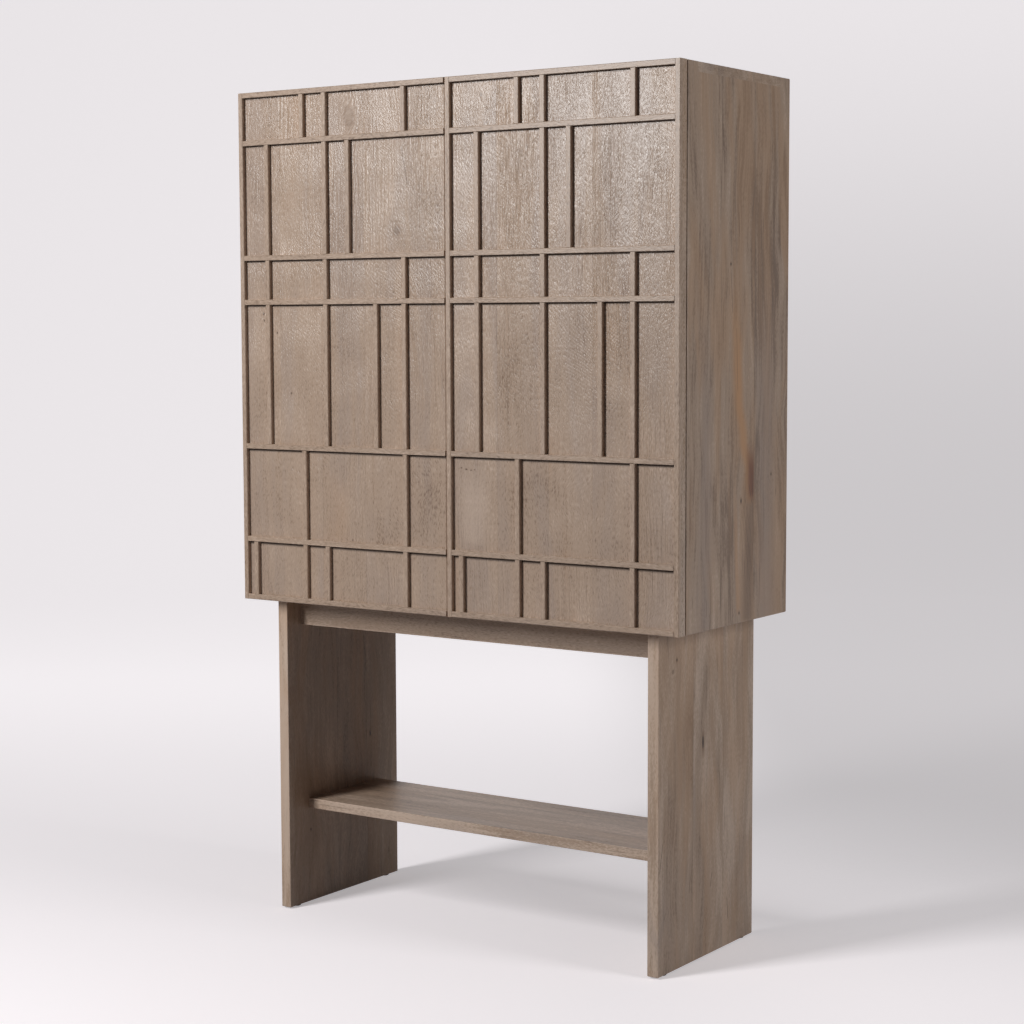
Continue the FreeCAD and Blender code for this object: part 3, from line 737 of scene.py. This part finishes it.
# Both panels get painted shadow under each rail.
washed_wood("left_door_panel", "Z", "X", 11, DOOR_LOOK, LEFT_JOINTS, LEFT_TONES, knots=LEFT_KNOTS,
            specks=LEFT_SPECKS, cracks=LEFT_CRACKS, hearts=LEFT_PATCHES, painted_shadows=rail_unders)
washed_wood("right_door_panel", "Z", "X", 12, DOOR_LOOK, RIGHT_JOINTS, RIGHT_TONES, knots=RIGHT_KNOTS,
            specks=RIGHT_SPECKS, hearts=RIGHT_PATCHES, painted_shadows=rail_unders)
print("painted_shadow under rails at", [round(level, 3) for level in rail_unders])

# %% Dress the strips
# The strips' edges and flanks are painted lighter, as if more light fell on them, besides being smoother and
# warmer.
STRIP_LOOK = Look(flame=0.3, fine=0.3, rings=0.1, staves=0.0, hue=0.12, hair=0.05, sand=0.9, dents=0.5,
                  matt=0.38, shine=0.5, shade=-0.02, warmth=-0.04, planed_and_lit=1.2)
for number, side in enumerate(("left", "right")):
    # The rails get painted shade on their lower faces.
    washed_wood(side + "_door_rails", "X", "Z", 21 + number, STRIP_LOOK, shaded_undersides=rail_unders)
    washed_wood(side + "_door_uprights", "Z", "X", 23 + number, STRIP_LOOK)
STILES = ("left_door_hinge_stile", "right_door_hinge_stile", "right_door_meeting_stile")
for number, stile in enumerate(STILES):
    washed_wood(stile, "Z", "X", 25 + number, STRIP_LOOK)
print("strips dressed")

# %% [markdown]
# ## Case and base
# Sides and legs are wide upright boards that were only lightly brushed, so their figure shows: broad soft
# flames, hairlines, small dark knots, and on the right side a streak of tan heartwood that runs down into a
# half knot at a glue joint. The left boards get knots and joints of their own.

# %% Dress sides and legs
SIDE_LOOK = Look(flame=1.6, breadth=18.0, warmth=0.10, fine=1.0, rings=0.4, hair=0.75, sand=0.6, dents=0.4,
                 matt=0.46, sway=0.06, curl=1.0, hue=0.45, shade=-0.08)
# The legs' front edges are painted lighter, as if more light fell on them.
LEG_LOOK = Look(flame=1.4, breadth=16.0, warmth=0.10, fine=0.6, rings=0.4, hair=0.35, shine=0.45, sand=0.6,
                dents=0.4, matt=0.46, sway=0.07, curl=1.0, hue=0.42, edge=0.19, staves=0.06, shade=0.04)
RUST = paint(112, 70, 48)
DARK_HEART = paint(104, 82, 66)
SIDE_JOINTS = (-0.055, 0.0705)
RIGHT_SIDE_HEARTS = (
    (((1.35, 0.13), (1.10, 0.115), (0.62, 0.12)), 0.055, WOOD_COOL, 0.40),
    (((1.25, -0.12), (0.95, -0.105), (0.62, -0.11)), 0.030, WOOD_COOL, 0.40),
    (((1.30, -0.022), (1.21, -0.006), (1.12, 0.008), (1.04, 0.013), (0.964, 0.030), (0.905, 0.052),
      (0.84, 0.062)), 0.026, HEART, 0.75, SIDE_JOINTS[1]),
    (((0.96, 0.066), (0.85, 0.060), (0.62, 0.048)), 0.034, DARK_HEART, 0.55, SIDE_JOINTS[1]),
    (((0.965, 0.052), (0.90, 0.062), (0.848, 0.067)), 0.025, RUST, 0.95, SIDE_JOINTS[1]),
    (((0.92, -0.004), (0.80, 0.004), (0.64, 0.014)), 0.014, HEART, 0.45),
)
RIGHT_SIDE_KNOTS = ((0.0222, 0.8535, 0.0022, 0.0045, 1.0), (0.1386, 0.8959, 0.0018, 0.003, 0.9),
                    (-0.0204, 1.2817, 0.002, 0.003, 1.0), (0.017, 0.6486, 0.0018, 0.003, 0.9))
RIGHT_SIDE_CRACKS = ((0.158, 0.852, 0.872, 0.0, 0.8), (-0.155, 0.672, 0.700, 0.0, 0.6),
                     (-0.105, 0.650, 0.690, 0.05, 0.6), (0.066, 0.720, 0.850, -0.28, 0.4),
                     (0.058, 0.700, 0.840, -0.24, 0.35), (0.068, 0.765, 0.860, -0.33, 0.4),
                     (0.045, 0.680, 0.820, -0.18, 0.3), (-0.012, 1.190, 1.275, -0.10, 0.6),
                     (0.008, 1.050, 1.170, -0.05, 0.5), (0.012, 1.330, 1.380, -0.1, 0.5),
                     (0.069, 0.845, 0.905, -0.10, 0.9), (0.066, 0.842, 0.885, -0.35, 0.8))
LEFT_SIDE_KNOTS = ((-0.061, 1.112, 0.002, 0.004, 1.0), (0.092, 0.781, 0.0018, 0.003, 0.9))
LEFT_SIDE_JOINTS = (-0.081, 0.036)
washed_wood("right_side", "Z", "Y", 31, SIDE_LOOK, SIDE_JOINTS, knots=RIGHT_SIDE_KNOTS,
            cracks=RIGHT_SIDE_CRACKS, hearts=RIGHT_SIDE_HEARTS)
washed_wood("left_side", "Z", "Y", 32, SIDE_LOOK, LEFT_SIDE_JOINTS, knots=LEFT_SIDE_KNOTS)
RIGHT_LEG_JOINTS = (-0.0455, 0.0665)
LEFT_LEG_JOINTS = (-0.0155, 0.082)
RIGHT_LEG_KNOTS = ((-0.0096, 0.4078, 0.003, 0.014, 1.0), (-0.1061, 0.5729, 0.002, 0.003, 0.9),
                   (-0.1202, 0.553, 0.004, 0.004, 0.3))
RIGHT_LEG_CRACKS = ((0.019, 0.125, 0.16, 0.25, 0.8), (0.089, 0.05, 0.10, -0.1, 0.8),
                    (-0.166, 0.19, 0.25, 0.2, 0.8), (-0.150, 0.10, 0.12, 0.3, 0.7),
                    (-0.060, 0.13, 0.17, 0.15, 0.7))
LEFT_LEG_KNOTS = ((0.094, 0.318, 0.0022, 0.006, 0.9), (-0.104, 0.151, 0.0018, 0.003, 0.8))
washed_wood("right_leg", "Z", "Y", 33, LEG_LOOK, RIGHT_LEG_JOINTS, knots=RIGHT_LEG_KNOTS,
            cracks=RIGHT_LEG_CRACKS)
washed_wood("left_leg", "Z", "Y", 34, LEG_LOOK, LEFT_LEG_JOINTS, knots=LEFT_LEG_KNOTS)
print("sides and legs dressed")

# %% Dress the lying boards
# The front or lower edges of these boards are painted lighter, as if more light fell on them.
BOARD_LOOK = Look(edge=0.2, hue=0.2, warmth=0.06, sand=0.9, shine=0.45, shade=-0.04)
SHELF_LOOK = Look(edge=0.2, flame=1.3, breadth=20.0, hue=0.3, sand=0.9, hair=0.4, shine=0.45, shade=0.06)
LYING_JOINTS = (-0.07, 0.06)
LYING_BOARDS = ("case_top", "case_bottom", "lower_shelf", "serving_shelf", "fold_out_leaf", "bay_shelf")
for number, board in enumerate(LYING_BOARDS):
    washed_wood(board, "X", "Y", 41 + number, SHELF_LOOK, LYING_JOINTS)
for number, board in enumerate(("front_apron", "rear_apron", "corner_blocks")):
    washed_wood(board, "X", "Z", 51 + number, BOARD_LOOK)
for number, board in enumerate(("left_cleat", "right_cleat")):
    washed_wood(board, "Y", "Z", 54 + number, BOARD_LOOK)
print("lying boards dressed")

# %% Dress the inner boards and the back
RACK_BOARDS = range(1, 4)
GLASS_RAILS = range(1, 7)
DIVIDER_JOINTS = (0.01,)
BACK_JOINTS = (-0.24, 0.0, 0.24)
BACK_LOOK = Look(flame=0.6, breadth=8.0, rings=0.4, hair=0.4, sand=0.3, dents=0.2, matt=0.55, shade=-0.02,
                 curl=1.2)
washed_wood("lower_divider", "Z", "Y", 57, BOARD_LOOK, DIVIDER_JOINTS)
for number in RACK_BOARDS:
    washed_wood("rack_upright_%d" % number, "Z", "Y", 60 + number, BOARD_LOOK)
    washed_wood("rack_level_%d" % number, "X", "Y", 64 + number, BOARD_LOOK)
for number in GLASS_RAILS:
    washed_wood("stemware_rail_%d" % number, "Y", "X", 70 + number, BOARD_LOOK)
washed_wood("back_panel", "Z", "X", 81, BACK_LOOK, BACK_JOINTS)
print("inner boards and back dressed")

# %% [markdown]
# ## Metal and plastic
# The leaf turns on satin brass butt hinges with brass screws. Door hinges, strikes, shelf pins and all other
# screws are nickel-plated steel, and the push latches and floor glides are moulded plastic. Bare metal is
# never one even colour: it has brush lines, cloudy tarnish and a gloss that changes with both. Moulded
# plastic has a fine spark-etched grain and scuffs.

# %% Finishes of the fittings
BRUSH_ALONG, BRUSH_ACROSS, BRUSH_DEPTH = 120.0, 2200.0, 0.00004
BRUSH_DETAIL, BRUSH_TINT, BRUSH_MATT = 3.0, 0.3, 0.2
TARNISH_SCALE, TARNISH_NOISE = 60.0, (4.0, 0.6)
TARNISH_FROM, TARNISH_MATT = (0.38, 0.68), 0.25
ETCH_SCALE, ETCH_DETAIL, ETCH_DEPTH, ETCH_MATT = 1400.0, 2.0, 0.00008, 0.15
SCUFF_SCALE, SCUFF_NOISE = 90.0, (5.0, 0.65)
SCUFF_FROM, SCUFF_STRENGTH, SCUFF_MATT = (0.55, 0.75), 0.5, 0.2


def satin_metal(name, bright, dull, matt):
    """Metal with fine brush lines and cloudy tarnish."""
    material, place = new_finish(name)
    spot = axes(place)
    lines = (spot["X"] * BRUSH_ALONG, spot["Y"] * BRUSH_ACROSS, spot["Z"] * BRUSH_ACROSS)
    brushed = noise(*lines, BRUSH_DETAIL) - 0.5
    cloud = noise(*[spot[axis] * TARNISH_SCALE for axis in "XYZ"], *TARNISH_NOISE)
    colour = blend(smooth(cloud + brushed * BRUSH_TINT, *TARNISH_FROM), bright, dull)
    bump = place.node("ShaderNodeBump", {}, {"Distance": BRUSH_DEPTH, "Height": brushed})
    rough = cloud * TARNISH_MATT + brushed * BRUSH_MATT + matt
    close_finish(place, {"Base Color": colour, "Metallic": 1.0, "Roughness": rough, "Normal": bump})
    return material


def moulded_plastic(name, plain, scuffed, matt):
    """Plastic with an etched grain and paler scuffs."""
    material, place = new_finish(name)
    spot = axes(place)
    etched = noise(*[spot[axis] * ETCH_SCALE for axis in "XYZ"], ETCH_DETAIL) - 0.5
    scuffs = noise(*[spot[axis] * SCUFF_SCALE for axis in "XYZ"], *SCUFF_NOISE)
    colour = blend(smooth(scuffs, *SCUFF_FROM) * SCUFF_STRENGTH, plain, scuffed)
    bump = place.node("ShaderNodeBump", {}, {"Distance": ETCH_DEPTH, "Height": etched})
    rough = scuffs * SCUFF_MATT + etched * ETCH_MATT + matt
    close_finish(place, {"Base Color": colour, "Roughness": rough, "Normal": bump})
    return material


brass = satin_metal("satin_brass", paint(208, 180, 124), paint(164, 132, 78), 0.22)
steel = satin_metal("satin_nickel", paint(198, 196, 192), paint(150, 147, 142), 0.20)
latch_plastic = moulded_plastic("grey_latch_plastic", paint(112, 112, 112), paint(146, 145, 143), 0.38)
glide_plastic = moulded_plastic("black_glide_plastic", paint(52, 48, 45), paint(92, 87, 82), 0.45)
print("metal and plastic ready")

# %% Dress the fittings
fittings = {
    brass: ["leaf_hinge_fixed_plates", "leaf_hinge_moving_plates"],
    steel: ["shelf_pins", "left_door_strike", "right_door_strike"],
    latch_plastic: ["left_latch_body", "right_latch_body", "left_latch_plunger", "right_latch_plunger"],
    glide_plastic: ["floor_glides"],
}
hinges = [(side, place) for side in ("left", "right") for place in ("lower", "upper")]
hinge_arms = ["%s_%s_hinge_arm" % hinge for hinge in hinges]
hinge_cups = ["%s_door_%s_hinge_cup" % hinge for hinge in hinges]
fittings[steel] += hinge_arms + hinge_cups
for material, names in fittings.items():
    for name in names:
        dress(name, material)
print("fittings dressed:", sum(len(names) for names in fittings.values()))

# %% [markdown]
# ## Screws and pins
# Hinge arms, latches, cleats, glass rails and leaf hinges are held by cross-head screws, and the back panel
# by small pins. They are too small for the CAD model. One screw is a short cylinder whose rim is bevelled
# into a dome, with two slots cut by a Boolean modifier. It is modelled once, at the origin, and copied to
# every place; a random turn about its own axis keeps the crosses from lining up like soldiers.

# %% Model one screw and one pin
SCREW_RADIUS = 0.0034
SCREW_HEIGHT = 0.0015
SCREW_SIDES = 32
SLOT_LENGTH = 0.0042
SLOT_WIDTH = 0.0009
CUTTER_SHARE = 1.2
PIN_RADIUS = 0.0018
PIN_HEIGHT = 0.0006
PIN_SIDES = 16
DOME_SHARE = 0.8
DOME_STEPS = 4
SMOOTH_ANGLE = math.radians(40)


def domed_head(name, radius, height, sides):
    """A round head on the plane z = 0, as deep below it as it is high, with its upper rim bevelled."""
    bpy.ops.object.select_all(action="DESELECT")
    bpy.ops.mesh.primitive_cylinder_add(vertices=sides, radius=radius, depth=2 * height)
    head = bpy.context.object
    head.name = name
    select_edges(head, lambda spot: spot.z > 0)
    bpy.ops.mesh.bevel(offset=height * DOME_SHARE, segments=DOME_STEPS)
    bpy.ops.object.mode_set(mode="OBJECT")
    bpy.ops.object.shade_smooth_by_angle(angle=SMOOTH_ANGLE)
    return head


def cut_slot(head, turn):
    """Cut one slot across the top of a screw head."""
    bpy.ops.object.select_all(action="DESELECT")
    size = (SLOT_LENGTH, SLOT_WIDTH, SCREW_HEIGHT * CUTTER_SHARE)
    top = (0, 0, SCREW_HEIGHT)
    bpy.ops.mesh.primitive_cube_add(size=1, location=top, rotation=(0, 0, turn), scale=size)
    cutter = bpy.context.object
    bpy.context.view_layer.objects.active = head
    slot = head.modifiers.new("slot", "BOOLEAN")
    slot.object = cutter
    slot.operation = "DIFFERENCE"
    bpy.ops.object.modifier_apply(modifier=slot.name)
    bpy.data.objects.remove(cutter)


screw = domed_head("screw_pattern", SCREW_RADIUS, SCREW_HEIGHT, SCREW_SIDES)
for turn in (0, math.pi / 2):
    cut_slot(screw, turn)
pin = domed_head("pin_pattern", PIN_RADIUS, PIN_HEIGHT, PIN_SIDES)
print("screw faces", len(screw.data.polygons), "pin faces", len(pin.data.polygons))

# %% Copy them to their places
ARM_STEPS = (0.008, 0.024)
LATCH_STEPS = (0.007, 0.019)


def set_heads(pattern, name, body, material, places, sunk=0.0):
    """Copies of a head at (point, outward direction) places, joined into one piece on its body."""
    draw = random.Random(name)
    bpy.ops.object.select_all(action="DESELECT")
    for point, outward in places:
        copy = pattern.copy()
        copy.data = pattern.data.copy()
        outward = Vector(outward)
        aim = outward.to_track_quat("Z", "Y").to_matrix().to_4x4()
        spin = Matrix.Rotation(draw.uniform(0, math.pi), 4, "Z")
        copy.data.transform(Matrix.Translation(Vector(point) - outward * sunk) @ aim @ spin)
        scene.collection.objects.link(copy)
        copy.select_set(True)
        bpy.context.view_layer.objects.active = copy
    bpy.ops.object.join()
    piece = bpy.context.object
    piece.name = name
    piece.data.materials.clear()
    piece.data.materials.append(material)
    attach(piece, body)
    print(name, len(places), "heads")


arm_places = []
for arm in hinge_arms:
    low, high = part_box(arm)
    face, outward = (high.x, (1, 0, 0)) if arm.startswith("left") else (low.x, (-1, 0, 0))
    arm_places += [((face, high.y - step, (low.z + high.z) / 2), outward) for step in ARM_STEPS]
set_heads(screw, "hinge_arm_screws", "cabinet", steel, arm_places)
latch_places = []
for latch in ("left_latch_body", "right_latch_body"):
    low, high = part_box(latch)
    latch_places += [(((low.x + high.x) / 2, high.y - step, low.z), (0, 0, -1)) for step in LATCH_STEPS]
set_heads(screw, "latch_screws", "cabinet", steel, latch_places)

# %% Screws in wood and in the leaf hinges
PROUD = 0.00012
FLUSH = SCREW_HEIGHT - PROUD
HALF_SUNK = SCREW_HEIGHT / 2
CLEAT_STEPS = (-0.15, 0.0, 0.15)
RAIL_INSET = 0.04
HINGE_MIDDLES = (-0.35, 0.0, 0.35)
HINGE_STEPS = (-0.02, 0.0, 0.02)
PLATE_MIDDLE_Y = 0.0225
cleat_places = []
for cleat in ("left_cleat", "right_cleat"):
    low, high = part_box(cleat)
    face, outward = (high.x, (1, 0, 0)) if cleat.startswith("left") else (low.x, (-1, 0, 0))
    middle = (low.y + high.y) / 2
    cleat_places += [((face, middle + step, (low.z + high.z) / 2), outward) for step in CLEAT_STEPS]
set_heads(screw, "cleat_screws", "cabinet", steel, cleat_places, HALF_SUNK)
rail_places = []
for number in GLASS_RAILS:
    low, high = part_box("stemware_rail_%d" % number)
    middle = (low.x + high.x) / 2
    ends = (low.y + RAIL_INSET, high.y - RAIL_INSET)
    rail_places += [((middle, end, low.z), (0, 0, -1)) for end in ends]
set_heads(screw, "glass_rail_screws", "cabinet", steel, rail_places, HALF_SUNK)
shelf_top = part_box("serving_shelf")[1].z
leaf_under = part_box("fold_out_leaf")[0].z
hinge_spots = [middle + step for middle in HINGE_MIDDLES for step in HINGE_STEPS]
fixed_places = [((spot, PLATE_MIDDLE_Y, shelf_top), (0, 0, 1)) for spot in hinge_spots]
moving_places = [((spot, PLATE_MIDDLE_Y, leaf_under), (0, 0, -1)) for spot in hinge_spots]
set_heads(screw, "shelf_hinge_screws", "cabinet", brass, fixed_places, FLUSH)
set_heads(screw, "leaf_hinge_screws", "fold_out_shelf", brass, moving_places, FLUSH)

# %% Pins round the back panel
PIN_INSET = 0.005
PIN_SPACING = 0.15
low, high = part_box("back_panel")
left, right = low.x + PIN_INSET, high.x - PIN_INSET
bottom, top = low.z + PIN_INSET, high.z - PIN_INSET
steps_across = round((right - left) / PIN_SPACING)
steps_up = round((top - bottom) / PIN_SPACING)
pin_spots = [left + (right - left) * step / steps_across for step in range(steps_across + 1)]
pin_levels = [bottom + (top - bottom) * step / steps_up for step in range(1, steps_up)]
pairs = [(spot, level) for spot in pin_spots for level in (bottom, top)]
pairs += [(spot, level) for level in pin_levels for spot in (left, right)]
pin_places = [((spot, high.y, level), (0, 1, 0)) for spot, level in pairs]
set_heads(pin, "back_pins", "cabinet", steel, pin_places)
for pattern in (screw, pin):
    bpy.data.objects.remove(pattern)
print("patterns removed")

# %% [markdown]
# ## Sizes
# The screws and pins should not make the cabinet larger.
